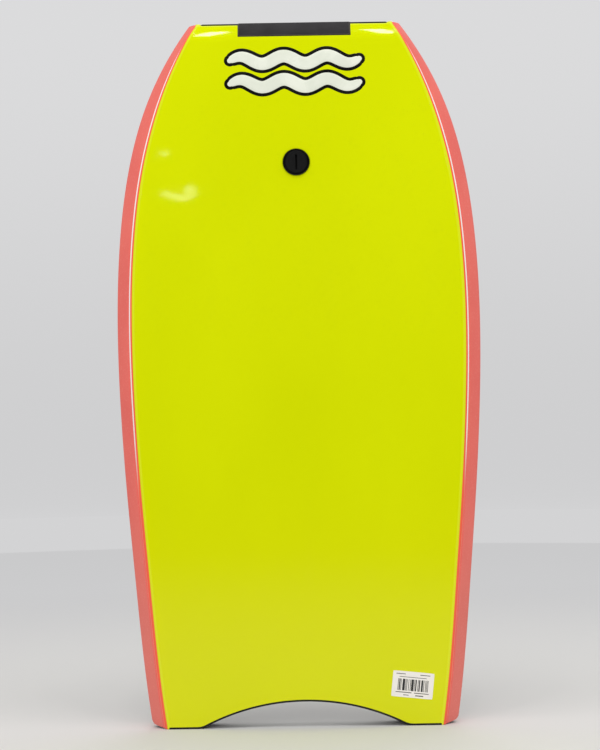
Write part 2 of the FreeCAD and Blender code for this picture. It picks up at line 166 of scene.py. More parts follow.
def deckHalf(height):
    return apexHalf(height) - bevelAt(board["deckBevel"], height)


def innerApex(height):
    return apexHalf(height) - board["rail"]


beadShare = board["bead"] / board["slickBevel"]
slickBack = board["slick"] + board["net"]


# each line down one side: its half width and its depth at a height
lines = {
    "slick": lambda z: (slickHalf(z), slickDepth(z)),
    "slickInner": lambda z: (slickHalf(z), slickDepth(z) + slickBack),
    "bead": lambda z: (slickHalf(z) + (apexHalf(z) - slickHalf(z)) * beadShare,
                       slickDepth(z) + (apexDepth(z) - slickDepth(z)) * beadShare),
    "beadInner": lambda z: (slickHalf(z) + (innerApex(z) - slickHalf(z)) * beadShare,
                            slickDepth(z) + slickBack
                            + (apexDepth(z) - slickDepth(z) - slickBack) * beadShare),
    "apex": lambda z: (apexHalf(z), apexDepth(z)),
    "apexInner": lambda z: (innerApex(z), apexDepth(z)),
    "deck": lambda z: (deckHalf(z), deckDepth(z)),
    "deckInner": lambda z: (deckHalf(z), deckDepth(z) - board["deck"]),
}

noseTilt = math.atan(2 * board["noseLift"] / board["rocker"])
noseOut = Vector((0, math.sin(noseTilt), math.cos(noseTilt)))
noseBack = Vector((0, math.cos(noseTilt), -math.sin(noseTilt)))
noseCorner = Vector((0, slickDepth(board["length"]), board["length"]))


def noseEnd(depth, inset=0.0):
    # how high the nose's end plane is at a depth
    return noseCorner.z - inset / math.cos(noseTilt) - (depth - noseCorner.y) * math.tan(noseTilt)


arcCentre = board["crescent"] - board["crescentRadius"]
kneeReach = math.sqrt((board["crescentRadius"] + board["knee"]) ** 2 - (board["knee"] - arcCentre) ** 2)


def tailEnd(x, inset=0.0):
    # how high the tail's edge is at a distance from the middle
    x = abs(x)
    corner = slickHalf(0) - inset * math.tan(board["railEnd"] / 2)
    radius, knee = board["crescentRadius"] + inset, board["knee"] - inset
    turn = kneeReach * radius / (radius + knee)
    if x <= turn:
        return arcCentre + math.sqrt(radius ** 2 - x ** 2)
    if x <= kneeReach:
        return board["knee"] - math.sqrt(knee ** 2 - (kneeReach - x) ** 2)
    return inset + max(0, x - corner) * math.tan(board["railEnd"])


# the leash plug's axis: its seat on the slick and the way out of it

plug = {
    "fromNose": 0.2165,
    "seat": 0.0008,
    "deckSeat": 0.0477,
    "screwSeat": 0.0208,
    "screwBore": 0.01125,
    "cupSeat": 0.0215,
    "cupBore": 0.01325,
    "face": 0.0160,     # radius of the screw's face inside its rim
    "slotHalf": 0.0013,
    "slotReach": 0.0110,
}
plugShare = (board["rocker"] - plug["fromNose"]) / board["rocker"]
plugTilt = math.atan(2 * board["noseLift"] * plugShare / board["rocker"])
plugIn = Vector((0, math.cos(plugTilt), -math.sin(plugTilt)))
plugUp = Vector((0, math.sin(plugTilt), math.cos(plugTilt)))
plugHeight = board["length"] - plug["fromNose"]
plugSeat = Vector((0, slickDepth(plugHeight), plugHeight)) + plugIn * plug["seat"]


def onPlug(radius, angle, into):
    across = Vector((math.cos(angle), 0, 0)) + plugUp * math.sin(angle)
    return plugSeat + across * radius + plugIn * into


# shader expressions

class Socket:
    # one output of a material's nodes, for use in sums

    def __init__(self, finish, output):
        self.finish = finish
        self.output = output

    def sum(self, operation, first, second):
        return self.finish.node("ShaderNodeMath", {"operation": operation}, {0: first, 1: second})

    def __add__(self, other):
        return self.sum("ADD", self, other)

    def __radd__(self, other):
        return self.sum("ADD", other, self)

    def __sub__(self, other):
        return self.sum("SUBTRACT", self, other)

    def __rsub__(self, other):
        return self.sum("SUBTRACT", other, self)

    def __mul__(self, other):
        return self.sum("MULTIPLY", self, other)

    def __rmul__(self, other):
        return self.sum("MULTIPLY", other, self)

    def __pow__(self, other):
        return self.sum("POWER", self, other)


class Finish:
    # a material and the nodes it is made of

    def __init__(self, name):
        self.material = bpy.data.materials.new(name)
        self.material.use_nodes = True
        self.tree = self.material.node_tree
        self.tree.nodes.clear()
        self.place = self.node("ShaderNodeTexCoord", output="Object")

    def node(self, kind, settings=None, sockets=None, output=0):
        node = self.tree.nodes.new(kind)
        for name, setting in (settings or {}).items():
            setattr(node, name, setting)
        for name, value in (sockets or {}).items():
            if isinstance(value, Socket):
                self.tree.links.new(value.output, node.inputs[name])
            else:
                node.inputs[name].default_value = value
        return Socket(self, node.outputs[output]) if node.outputs else None

    def noise(self, scale, detail=2.0, rough=0.5, place=None):
        return self.node("ShaderNodeTexNoise", None, {
            "Vector": place or self.place, "Scale": scale, "Detail": detail, "Roughness": rough,
        })

    def cells(self, scale, feature="F1"):
        return self.node("ShaderNodeTexVoronoi", {"feature": feature},
                         {"Vector": self.place, "Scale": scale}, "Distance")

    def bands(self, axis, scale):
        return self.node("ShaderNodeTexWave", {"bands_direction": axis},
                         {"Vector": self.place, "Scale": scale}, "Fac")

    def stretched(self, x, y, z):
        return self.node("ShaderNodeMapping", None, {"Vector": self.place, "Scale": (x, y, z)})

    def along(self, axis):
        return self.node("ShaderNodeSeparateXYZ", None, {"Vector": self.place}, axis)

    def measure(self, name):
        # a number kept on the mesh's points
        return self.node("ShaderNodeAttribute", {"attribute_name": name}, None, "Fac")

    def between(self, value, low, high):
        # 0 under low, 1 over high and smooth in the middle
        return self.node("ShaderNodeMapRange", {"interpolation_type": "SMOOTHSTEP"},
                         {"Value": value, "From Min": low, "From Max": high})

    def mix(self, share, first, second):
        return self.node("ShaderNodeMix", {"data_type": "RGBA"}, {0: share, 6: first, 7: second}, 2)

    def bump(self, height, distance, strength=1.0, under=None):
        sockets = {"Height": height, "Distance": distance, "Strength": strength}
        if under:
            sockets["Normal"] = under
        return self.node("ShaderNodeBump", None, sockets)

    def surface(self, sockets):
        shader = self.node("ShaderNodeBsdfPrincipled", None, sockets)
        self.node("ShaderNodeOutputMaterial", None, {"Surface": shader})
        return self.material


def colour(red, green, blue):
    # a colour given as on a screen, 0 to 255, turned to light
    parts = [c / 255 for c in (red, green, blue)]
    return tuple(c / 12.92 if c < 0.04045 else ((c + 0.055) / 1.055) ** 2.4 for c in parts) + (1,)


# what the pieces are made of

slickColours = {
    "lime": colour(214, 225, 3),
    "deep": colour(209, 220, 2),
    "ridge": colour(226, 233, 60),
    "floorReflection": colour(222, 219, 8),
}


def slickFilm():
    finish = Finish("slickFilm")
    broad = finish.noise(3.0, 3.0, place=finish.stretched(1.0, 1.0, 0.5))
    waves = finish.noise(9.0, 2.0)
    skin = finish.noise(900.0, 2.0)
    scuffs = finish.noise(60.0, 4.0, 0.7, place=finish.stretched(1.0, 1.0, 0.06))
    edge = finish.measure("edge")
    ridge = finish.between(edge, 0.0006, 0.0016) * (1 - finish.between(edge, 0.0036, 0.0052))
    low = 1 - finish.between(finish.along("Z"), 0.12, 0.42)
    tone = finish.mix(finish.between(broad, 0.35, 0.65), slickColours["deep"], slickColours["lime"])
    # painted reflection of the pale floor: the slick turns warmer towards the bottom
    tone = finish.mix(low * 0.5, tone, slickColours["floorReflection"])
    # painted highlight: a paler band a few millimetres in from the edge, on the ridge
    tone = finish.mix(ridge * 0.38, tone, slickColours["ridge"])
    relief = finish.bump(waves, 0.0006, 0.25)
    relief = finish.bump(skin, 0.000015, 0.3, relief)
    return finish.surface({
        "Base Color": tone,
        "Roughness": 0.02 + 0.02 * broad + 0.08 * low + 0.03 * finish.between(scuffs, 0.5, 0.75),
        "Specular IOR Level": 0.32,
        "Coat Weight": 0.1,
        "Coat Roughness": 0.04,
        "Normal": relief,
    })


def railFoam(name, tint, shade):
    # closed-cell foam with a skin of fine pebbles
    finish = Finish(name)
    pebbles = finish.cells(900.0, "SMOOTH_F1")
    grain = finish.noise(380.0, 3.0, 0.6)
    broad = finish.noise(9.0, 3.0)
    inner = 1 - finish.between(finish.measure("across"), 0.0, 0.16)
    low = 1 - finish.between(finish.along("Z"), 0.10, 0.42)
    tone = finish.mix(finish.between(broad, 0.3, 0.7), shade, tint)
    # painted light: a deeper, brighter red band along the edge where the across measure starts
    tone = finish.mix(inner * 0.35, tone, colour(248, 96, 86))
    # painted light from the floor: the foam turns paler towards the bottom, away from that band
    tone = finish.mix(low * (1 - inner) * 0.45, tone, colour(218, 128, 116))
    tone = finish.mix(finish.between(grain, 0.52, 0.72) * 0.22, tone, colour(250, 168, 158))
    relief = finish.bump(grain, 0.0004, 0.35)
    relief = finish.bump(pebbles, 0.0003, 0.5, relief)
    return finish.surface({
        "Base Color": tone,
        "Roughness": 0.52 + 0.14 * grain,
        "Specular IOR Level": 0.35,
        "Sheen Weight": 0.08,
        "Normal": relief,
    })


def beadPlastic():
    # a welded bead; its outer edge carries a broken white line, a painted highlight
    finish = Finish("beadPlastic")
    across = finish.measure("across")
    specks = finish.noise(420.0, 3.0, 0.7)
    patches = finish.noise(32.0, 2.0)
    height = finish.along("Z")
    highlightSpan = finish.between(height, 0.34, 0.46) * (1 - finish.between(height, 1.0, 1.04))
    outer = finish.between(across, 0.34, 0.44)
    paintedHighlight = outer * highlightSpan * finish.between(specks + 0.5 * patches, 0.36, 0.52)
    # painted highlight: the bead's outer side turns a lighter coral
    tone = finish.mix(finish.between(across, 0.55, 0.8), colour(252, 98, 66), colour(250, 142, 124))
    # painted highlight: a broken white line along the outer side
    tone = finish.mix(paintedHighlight, tone, colour(252, 244, 238))
    relief = finish.bump(specks, 0.0005, 0.4)
    return finish.surface({
        "Base Color": tone,
        "Roughness": 0.30 + 0.25 * specks,
        "Specular IOR Level": 0.5,
        "Normal": relief,
    })


def blackFoam(name, cellsAcross, depth, tint, sheenTint):
    # black foam sheet with rounded pebbles
    finish = Finish(name)
    pebbles = finish.cells(cellsAcross, "SMOOTH_F1")
    fine = finish.noise(1200.0, 2.0)
    broad = finish.noise(7.0, 3.0)
    # painted sheen: broad lighter patches at random
    tone = finish.mix(finish.between(broad, 0.3, 0.7), tint, sheenTint)
    # painted shade in the hollows between the pebbles
    tone = finish.mix(finish.between(pebbles, 0.25, 0.6) * 0.5, tone, colour(8, 8, 9))
    relief = finish.bump(fine, 0.0001, 0.4)
    relief = finish.bump(1 - pebbles, depth, 0.8, relief)
    return finish.surface({
        "Base Color": tone,
        "Roughness": 0.62 + 0.18 * broad,
        "Specular IOR Level": 0.35,
        "Sheen Weight": 0.12,
        "Normal": relief,
    })


def coreFoam():
    finish = Finish("coreFoam")
    beads = finish.cells(240.0, "DISTANCE_TO_EDGE")
    broad = finish.noise(12.0, 2.0)
    tone = finish.mix(finish.between(beads, 0.0, 0.12), colour(214, 212, 204), colour(240, 239, 234))
    tone = finish.mix(broad * 0.3, tone, colour(228, 226, 216))
    return finish.surface({
        "Base Color": tone,
        "Roughness": 0.72 + 0.12 * broad,
        "Normal": finish.bump(finish.between(beads, 0.0, 0.15), 0.0006, 0.6),
    })


def netFilm():
    # square net laid in a clear film
    finish = Finish("netFilm")
    threads = finish.bands("X", 60.0)
    threadsUp = finish.bands("Z", 60.0)
    net = finish.between(threads, 0.82, 0.95) + finish.between(threadsUp, 0.82, 0.95)
    return finish.surface({
        "Base Color": finish.mix(net, colour(206, 210, 206), colour(238, 240, 238)),
        "Roughness": 0.42 + 0.1 * threads,
        "Normal": finish.bump(net, 0.0004, 0.5),
    })


def mouldedPlastic(name, tint, lighter, rough, grainDepth):
    finish = Finish(name)
    grain = finish.noise(1500.0, 3.0, 0.6)
    broad = finish.noise(45.0, 3.0)
    swirl = finish.noise(160.0, 4.0, 0.7, place=finish.stretched(1.0, 1.0, 0.25))
    tone = finish.mix(finish.between(broad, 0.3, 0.7), tint, lighter)
    relief = finish.bump(grain, grainDepth, 0.5)
    return finish.surface({
        "Base Color": tone,
        "Roughness": rough + 0.12 * grain + 0.10 * finish.between(swirl, 0.5, 0.8),
        "Specular IOR Level": 0.5,
        "Normal": relief,
    })


def plugHead():
    # the screw: a charcoal face, with painted shade that makes its rim black and its coin slot dark
    finish = Finish("plugHead")
    grain = finish.noise(1500.0, 3.0, 0.6)
    swirl = finish.noise(240.0, 3.0, 0.6, place=finish.stretched(1.0, 1.0, 0.3))
    aside = finish.along("X")
    up = finish.node("ShaderNodeVectorMath", {"operation": "DOT_PRODUCT"},
                     {0: finish.place, 1: tuple(plugUp)}, "Value") - plugSeat.dot(plugUp)
    radius = (aside * aside + up * up) ** 0.5
    face, half, reach = plug["face"], plug["slotHalf"], plug["slotReach"]
    rim = finish.between(radius, face, face + 0.0008)
    aisle = 1 - finish.between(aside * aside, half ** 2, (half + 0.0002) ** 2)
    slotShade = aisle * (1 - finish.between(radius, reach, reach + 0.0007))
    tone = finish.mix(finish.between(grain, 0.3, 0.7), colour(20, 21, 21), colour(28, 28, 28))
    # painted shade: the rim is painted black
    tone = finish.mix(rim, tone, colour(7, 7, 9))
    # painted shade in the coin slot
    tone = finish.mix(slotShade, tone, colour(4, 4, 4))
    return finish.surface({
        "Base Color": tone,
        "Roughness": 0.34 + 0.12 * grain + 0.12 * finish.between(swirl, 0.5, 0.8),
        "Specular IOR Level": 0.5,
        "Normal": finish.bump(grain, 0.00005, 0.5),
    })


def brushedSteel():
    finish = Finish("brushedSteel")
    brush = finish.noise(700.0, 3.0, place=finish.stretched(0.05, 1.0, 1.0))
    return finish.surface({
        "Base Color": finish.mix(brush, colour(176, 178, 180), colour(206, 207, 208)),
        "Metallic": 1.0,
        "Roughness": 0.20 + 0.18 * brush,
        "Normal": finish.bump(brush, 0.00005, 0.4),
    })


def badgeCloth():
    # a woven strip with a thin pale line near its edge
    finish = Finish("badgeCloth")
    warp = finish.bands("X", 520.0)
    weft = finish.bands("Z", 520.0)
    broad = finish.noise(40.0, 3.0)
    edge = finish.measure("edge")
    paleEdgeLine = finish.between(edge, 0.0013, 0.0016) * (1 - finish.between(edge, 0.0019, 0.0022))
    tone = finish.mix(finish.between(broad, 0.3, 0.7), colour(34, 31, 33), colour(44, 41, 43))
    tone = finish.mix(warp * weft * 0.5, tone, colour(58, 54, 56))
    tone = finish.mix(paleEdgeLine * 0.45, tone, colour(120, 108, 92))
    relief = finish.bump(warp * 0.5 + weft * 0.5, 0.00012, 0.5)
    return finish.surface({
        "Base Color": tone,
        "Roughness": 0.48 + 0.15 * broad,
        "Specular IOR Level": 0.4,
        "Sheen Weight": 0.1,
        "Normal": relief,
    })


def labelPaper(name, tint, lighter):
    finish = Finish(name)
    fibres = finish.noise(700.0, 4.0, 0.7)
    broad = finish.noise(50.0, 2.0)
    return finish.surface({
        "Base Color": finish.mix(fibres * 0.7 + broad * 0.3, tint, lighter),
        "Roughness": 0.36 + 0.12 * fibres,
        "Normal": finish.bump(fibres, 0.00004, 0.4),
    })


def decalFilm(name, tint, lighter):
    finish = Finish(name)
    broad = finish.noise(30.0, 3.0)
    skin = finish.noise(1100.0, 2.0)
    return finish.surface({
        "Base Color": finish.mix(finish.between(broad, 0.3, 0.7), tint, lighter),
        "Roughness": 0.22 + 0.10 * broad,
        "Specular IOR Level": 0.4,
        "Normal": finish.bump(skin, 0.00003, 0.4),
    })


finishes = {
    "slick": slickFilm(),
    "rail": railFoam("railFoam", colour(240, 112, 100), colour(233, 104, 94)),
    "bead": beadPlastic(),
    "deck": blackFoam("deckFoam", 480.0, 0.0008, colour(28, 28, 29), colour(42, 42, 43)),
    "skin": blackFoam("endFoam", 900.0, 0.0003, colour(24, 24, 25), colour(34, 33, 34)),
    "core": coreFoam(),
    "net": netFilm(),
    "stringer": mouldedPlastic("stringerPlastic", colour(70, 74, 78), colour(84, 88, 92), 0.34, 0.00005),
    "cap": mouldedPlastic("capPlastic", colour(206, 206, 200), colour(220, 220, 214), 0.40, 0.00005),
    "plug": mouldedPlastic("plugPlastic", colour(22, 22, 23), colour(32, 32, 33), 0.30, 0.00005),
    "head": plugHead(),
    "washer": mouldedPlastic("washerRubber", colour(18, 18, 18), colour(26, 26, 26), 0.62, 0.00008),
    "bar": brushedSteel(),
    "badge": badgeCloth(),
    "paper": labelPaper("labelPaper", colour(238, 232, 226), colour(246, 242, 238)),
    "ink": labelPaper("labelInk", colour(34, 34, 36), colour(52, 52, 54)),
    "decal": decalFilm("decalWhite", colour(220, 224, 208), colour(230, 233, 218)),
    "decalEdge": decalFilm("decalBlack", colour(14, 14, 14), colour(24, 24, 24)),
}
print("finishes made:", len(finishes))


# pieces from points and faces

def addPiece(name, points, faces, finish, replaces=(), measures=None, sharp=38, body="board"):
    mesh = bpy.data.meshes.new(name)
    mesh.from_pydata([tuple(p) for p in points], [], faces)
    tidy = bmesh.new()
    tidy.from_mesh(mesh)
    bmesh.ops.recalc_face_normals(tidy, faces=tidy.faces)
    tidy.to_mesh(mesh)
    tidy.free()
    mesh.shade_smooth()
    mesh.set_sharp_from_angle(angle=math.radians(sharp))
    for measure, values in (measures or {}).items():
        kept = mesh.attributes.new(measure, "FLOAT", "POINT")
        kept.data.foreach_set("value", values)
    materials = finish if isinstance(finish, list) else [finish]
    for material in materials:
        mesh.materials.append(material)
    piece = bpy.data.objects.new(name, mesh)
    scene.collection.objects.link(piece)
    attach(piece, body)
    if replaces:
        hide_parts(*replaces)
    return piece


def joinRings(rings, closedRing=True, capStart=True, capEnd=True):
    # points and faces of a body swept through rings of points
    points = [p for ring in rings for p in ring]
    size = len(rings[0])
    faces = []
    for r in range(len(rings) - 1):
        for k in range(size if closedRing else size - 1):
            after = (k + 1) % size
            faces.append((r * size + k, r * size + after, (r + 1) * size + after, (r + 1) * size + k))
    if capStart:
        faces.append(tuple(range(size - 1, -1, -1)))
    if capEnd:
        faces.append(tuple(range((len(rings) - 1) * size, len(rings) * size)))
    return points, faces


# the slick and the deck

sheetShape = {
    "middle": 0.12,     # columns stand still inside this half width
    "block": 0.030,     # half size of the block round the plug
    "margin": 0.012,    # strip along each edge with its own profile
    "joint": 0.085,     # height where rows stop following the crescent
    "cells": 16,        # rows and columns across the block
    "lip": [(0.0004, 0.0), (0.0001, 0.00012), (0.0, 0.0004)],   # round edge of the plug's seat
    "boreEdge": 0.0002,
    "tipSlope": 0.0012,
}

slickSheet = {
    "name": "slick_sheet",
    "half": slickHalf,
    "depth": slickDepth,
    "out": -1,
    "thickness": board["slick"],
    "seat": plug["screwSeat"],
    "bore": plug["screwBore"],
    "seatAt": 0.0,
    "tips": (0.0080, 0.0036),   # how wide the tips past the nose and tail skins are
    "profile": [(0.0090, 0.0), (0.0075, 0.0), (0.0062, 0.00002), (0.0054, 0.00003), (0.0048, -0.00006),
                (0.0042, -0.00018), (0.0034, -0.00022), (0.0026, -0.00020), (0.0018, -0.00008),
                (0.0011, 0.00016), (0.0005, 0.00050), (0.00015, 0.00090), (0.0, 0.00140)],
}

deckSheet = {
    "name": "deck_sheet",
    "half": deckHalf,
    "depth": deckDepth,
    "out": 1,
    "thickness": board["deck"],
    "seat": plug["cupSeat"],
    "bore": plug["cupBore"],
    "seatAt": plug["deckSeat"],
    "tips": (0.0, 0.0),
    "profile": [(0.0085, 0.0), (0.0060, 0.00008), (0.0042, 0.00025), (0.0028, 0.00055),
                (0.0017, 0.00100), (0.0008, 0.00165), (0.00025, 0.00235), (0.0, 0.0031)],
}


def sheetColumns(profile):
    # each column as (hand, kind, amount, drop), from left to right
    middle, block = sheetShape["middle"], sheetShape["block"]
    half = sheetShape["cells"] // 2
    right = [("still", block + (middle - block) * k / 16, 0.0) for k in range(1, 17)]
    right += [("spread", k / 24, 0.0) for k in range(1, 25)]
    right += [("edge", inset, drop) for inset, drop in profile]
    columns = [(-1,) + column for column in reversed(right)]
    columns += [(1, "still", block * k / half, 0.0) for k in range(-half, half + 1)]
    return columns + [(1,) + column for column in right]


def sheetRows(top):
    # each row as (share of the way from the tail's edge to the joint, height)
    joint, block = sheetShape["joint"], sheetShape["block"]
    rows = [(share, joint) for share in (0, 0.02, 0.06, 0.14, 0.26, 0.42, 0.6, 0.8)]
    low, high, cells = plugHeight - block, plugHeight + block, sheetShape["cells"]
    rows += [(1, joint + (low - joint) * k / 48) for k in range(48)]
    rows += [(1, low + (high - low) * k / cells) for k in range(cells)]
    roll = board["length"] - board["roll"]
    rows += [(1, high + (roll - high) * k / 12) for k in range(12)]
    rows += [(1, roll + (top - roll) * k / 14) for k in range(15)]
    return rows


def squarePath(count):
    # grid steps round a block, anticlockwise from its low left corner
    path = [(k, 0) for k in range(count)]
    path += [(count, k) for k in range(count)]
    path += [(count - k, count) for k in range(count)]
    return path + [(0, count - k) for k in range(count)]


def sheetAcross(sheet, column, z):
    hand, kind, amount, drop = column
    middle, half = sheetShape["middle"], sheet["half"](z)
    if kind == "still":
        return hand * amount
    if kind == "spread":
        return hand * (middle + amount * (half - sheetShape["margin"] - middle))
    return hand * (half - amount)


def tipShare(sheet, x, z, reach):
    # the corners of the slick run on past the end skins
    if not reach:
        return 0
    return min(max((abs(x) - sheet["half"](z) + reach) / sheetShape["tipSlope"], 0), 1)


def sheetPoint(sheet, column, row, last, inward):
    share, height = row
    noseTip, tailTip = sheet["tips"]
    z = height
    for step in range(3 if share < 1 else 1):
        x = sheetAcross(sheet, column, z)
        low = tailEnd(x, board["tailSkin"] * (1 - tipShare(sheet, x, z, tailTip)))
        z = low + share * (height - low)
    if last:
        z += board["noseSkin"] * tipShare(sheet, x, z, noseTip)
    return Vector((x, sheet["depth"](z) - sheet["out"] * (inward or column[3]), z))


def gridRim(width, height):
    # the outer points of a grid, once round
    rim = list(range(width))
    rim += [r * width + width - 1 for r in range(1, height)]
    rim += [(height - 1) * width + c for c in range(width - 2, -1, -1)]
    return rim + [r * width for r in range(height - 2, 0, -1)]


def holeRings(sheet, points, outer, back):
    # rings from the grid's block down the plug's seat and bore to the sheet's back
    depth, out, thickness = sheet["depth"], sheet["out"], sheet["thickness"]
    seat, bore, seatAt, lip = sheet["seat"], sheet["bore"], sheet["seatAt"], plug["seat"]
    widest, soft = sheetShape["lip"][0][0], sheetShape["boreEdge"]
    holeAt = onPlug(0, 0, seatAt + out * lip).z
    angles = [math.atan2(points[k].z - holeAt, points[k].x) for k in outer]

    def surfaceRing(start, radius, share, inward):
        ring = []
        for k, angle in zip(start, angles):
            p = points[k]
            goal = onPlug(radius, angle, seatAt + out * lip)
            x = p.x + (goal.x - p.x) * share
            z = p.z + (goal.z - p.z) * share
            ring.append(len(points))
            points.append(Vector((x, depth(z) - out * inward, z)))
        return ring

    def roundRing(radius, into):
        ring = []
        for angle in angles:
            ring.append(len(points))
            points.append(onPlug(radius, angle, seatAt - out * into))
        return ring

    steps = [(seat + more, under - lip) for more, under in sheetShape["lip"]]
    steps += [(seat, 0.0), (bore + soft, 0.0), (bore, soft), (bore, thickness - lip)]
    inner = [k + back for k in outer]
    rings = [outer] + [surfaceRing(outer, seat + widest, share, 0.0) for share in (0.35, 0.7, 0.92)]
    rings += [roundRing(radius, into) for radius, into in steps]
    rings += [surfaceRing(inner, bore, share, thickness) for share in (0.75, 0.4)]
    return rings + [inner]


def makeSheet(sheet, finish, node):
    columns = sheetColumns(sheet["profile"])
    top = board["length"]
    for step in range(5):
        top = noseEnd(sheet["depth"](top), board["noseSkin"])
    rows = sheetRows(top)
    width, height, cells = len(columns), len(rows), sheetShape["cells"]
    points = [sheetPoint(sheet, column, row, row is rows[-1], inward)
              for inward in (0.0, sheet["thickness"]) for row in rows for column in columns]
    back = len(points) // 2
    edges = [sheet["half"](p.z) - abs(p.x) for p in points]
    left = (width - cells) // 2
    low = rows.index((1, plugHeight - sheetShape["block"]))
    faces = []
    for side in (0, back):
        for r in range(height - 1):
            for c in range(width - 1):
                if low <= r < low + cells and left <= c < left + cells:
                    continue
                k = side + r * width + c
                faces.append((k, k + 1, k + width + 1, k + width))
    rim = gridRim(width, height)
    for first, second in zip(rim, rim[1:] + rim[:1]):
        faces.append((first, second, second + back, first + back))
    outer = [(low + r) * width + left + c for c, r in squarePath(cells)]
    rings = holeRings(sheet, points, outer, back)
    for first, second in zip(rings, rings[1:]):
        for k in range(len(first)):
            after = (k + 1) % len(first)
            faces.append((first[k], first[after], second[after], second[k]))
    edges += [1.0] * (len(points) - len(edges))
    addPiece(sheet["name"], points, faces, finish, [node], {"edge": edges}, sharp=50)


makeSheet(slickSheet, finishes["slick"], "slick_skin")
makeSheet(deckSheet, finishes["deck"], "deck_skin")
print("slick and deck made")


# the foam rails and the welded beads

railShape = {
    "rows": 92,
    "crown": 0.00035,       # how far the foam bulges
    "corner": 0.0016,       # radius of its long edges
    "endRadius": 0.0045,    # round at the outer corner of the tail end
    "end": [(0.0012, 0.0), (0.0005, 0.00012), (0.00015, 0.0005), (0.0, 0.0012)],   # (inset, from the end)
}

beadShape = {
    "rows": 110,
    "crown": 0.00045,
    "corner": 0.0009,
    "end": [(0.0007, 0.0), (0.0002, 0.0002), (0.0, 0.0007)],
}


def railRing(shape, outer, inner, hand, height, inset=0.0):
    # one ring of a strip at a height, as (x, y, share across)
    start, finish = [Vector(lines[name](height)) for name in outer]
    backStart, backFinish = [Vector(lines[name](height)) for name in inner]
    along = finish - start
    length = along.length
    along.normalize()
    out = Vector((along.y, -along.x))
    if out.dot((start + finish) / 2 - (backStart + backFinish) / 2) < 0:
        out = -out
    corner = min(shape["corner"], length * 0.3)
    turns = [math.radians(k) for k in (0, 22, 45, 67, 90)]
    bend = [(corner * (1 - math.sin(turn)), -corner * (1 - math.cos(turn))) for turn in turns]
    ring = bend[::-1]
    for share in (0.2, 0.35, 0.5, 0.65, 0.8):
        ring.append((corner + (length - 2 * corner) * (share - 0.1) / 0.8,
                     shape["crown"] * math.sin(math.pi * share)))
    ring += [(length - a, b) for a, b in bend]
    placed = []
    for a, b in ring:
        a = min(max(a, inset), length - inset)
        point = start + along * a + out * (b - inset)
        placed.append((hand * point.x, point.y, a / length))
    middle = (backStart + backFinish) / 2
    for point in (backFinish, backStart):
        pulled = point + (middle - point).normalized() * inset + out * inset * 0.5
        placed.append((hand * pulled.x, pulled.y, 1.0 if point is backFinish else 0.0))
    return placed


def makeRail(name, shape, outer, inner, hand, finish, node):
    count = shape["rows"]
    ends = shape["end"]
    levels = [("tail", inset, offset) for inset, offset in ends]
    levels += [("between", 0.0, k / count) for k in range(1, count)]
    levels += [("nose", inset, offset) for inset, offset in reversed(ends)]
    guess = {"tail": 0.0, "nose": board["length"]}
    rings, across = [], []
    size = len(railRing(shape, outer, inner, hand, 0.5))
    for kind, inset, amount in levels:
        ring = []
        for k in range(size):
            height = guess.get(kind, board["length"] * amount)
            for step in range(3):
                x, y, share = railRing(shape, outer, inner, hand, height, inset)[k]
                low, high = railLow(x), noseEnd(y)
                if kind == "tail":
                    height = low + amount
                elif kind == "nose":
                    height = high - amount
                else:
                    height = low + ends[-1][1] + amount * (high - low - 2 * ends[-1][1])
            ring.append(Vector((x, y, height)))
            across.append(share)
        rings.append(ring)
    points, faces = joinRings(rings)
    return addPiece(name, points, faces, finish, [node], {"across": across})


def railLow(x):
    # the rails' cut end, which turns up in a round at the apex
    low = max(0, abs(x) - slickHalf(0)) * math.tan(board["railEnd"])
    radius = railShape["endRadius"]
    past = min(max(0, abs(x) - apexHalf(0) + radius), radius)
    return low + radius - math.sqrt(radius ** 2 - past ** 2)


for sideName, hand in (("left", -1), ("right", 1)):
    makeRail(f"lower_rail_{sideName}_foam", railShape, ("bead", "apex"), ("beadInner", "apexInner"),
             hand, finishes["rail"], f"lower_rail_{sideName}")
    makeRail(f"upper_rail_{sideName}_foam", railShape, ("apex", "deck"), ("apexInner", "deckInner"),
             hand, finishes["rail"], f"upper_rail_{sideName}")
    makeRail(f"edge_bead_{sideName}_weld", beadShape, ("slick", "bead"), ("slickInner", "beadInner"),
             hand, finishes["bead"], f"edge_bead_{sideName}")
print("rails and beads made")


# the black skins over both ends

tailStrip = {
    "still": 0.150,
    "corner": [(0.0009, 0.0), (0.0003, 0.00025), (0.0, 0.0009)],
}


def skinHalf(depth, height):
    # half width of the board inside its rails, at a depth
    slick, back = lines["slick"](height), lines["slickInner"](height)
    apex, inner, deck = lines["apexInner"](height), lines["deckInner"](height), lines["deck"](height)
    corners = [slick, back, apex, inner, deck]
    return float(numpy.interp(depth, [c[1] for c in corners], [c[0] for c in corners]))


def makeTailSkin():
    front, back = slickDepth(0), deckDepth(0)
    still, corner = tailStrip["still"], tailStrip["corner"]
    first, last = front + corner[-1][1], back - corner[-1][1]
    depths = [(front + into, lift) for lift, into in corner]
    depths += [(front + board["slick"] - 0.0001, 0.0), (front + board["slick"] + 0.0001, 0.0)]
    depths += [(first + (last - first) * k / 12, 0.0) for k in range(1, 12)]
    depths += [(back - into, lift) for lift, into in reversed(corner)]
    shares = [(-1, k / 30) for k in range(30, 0, -1)] + [(0, k / 60) for k in range(-60, 61)]
    shares += [(1, k / 30) for k in range(1, 31)]

    def across(hand, share, depth):
        if hand == 0:
            return still * share
        reach = skinHalf(depth, 0.0)
        if depth < front + board["slick"]:
            reach = skinHalf(front, 0.0) - slickSheet["tips"][1]
        return hand * (still + share * (reach - still))

    rings = []
    for hand, share in shares:
        places = [(across(hand, share, depth), depth, lift) for depth, lift in depths]
        ring = [Vector((x, depth, tailEnd(x) + lift)) for x, depth, lift in places]
        ring += [Vector((x, depth, tailEnd(x, board["tailSkin"]))) for x, depth, lift in reversed(places)]
        rings.append(ring)
    points, faces = joinRings(rings)
    addPiece("tail_skin_strip", points, faces, finishes["skin"], ["tail_skin"], sharp=45)


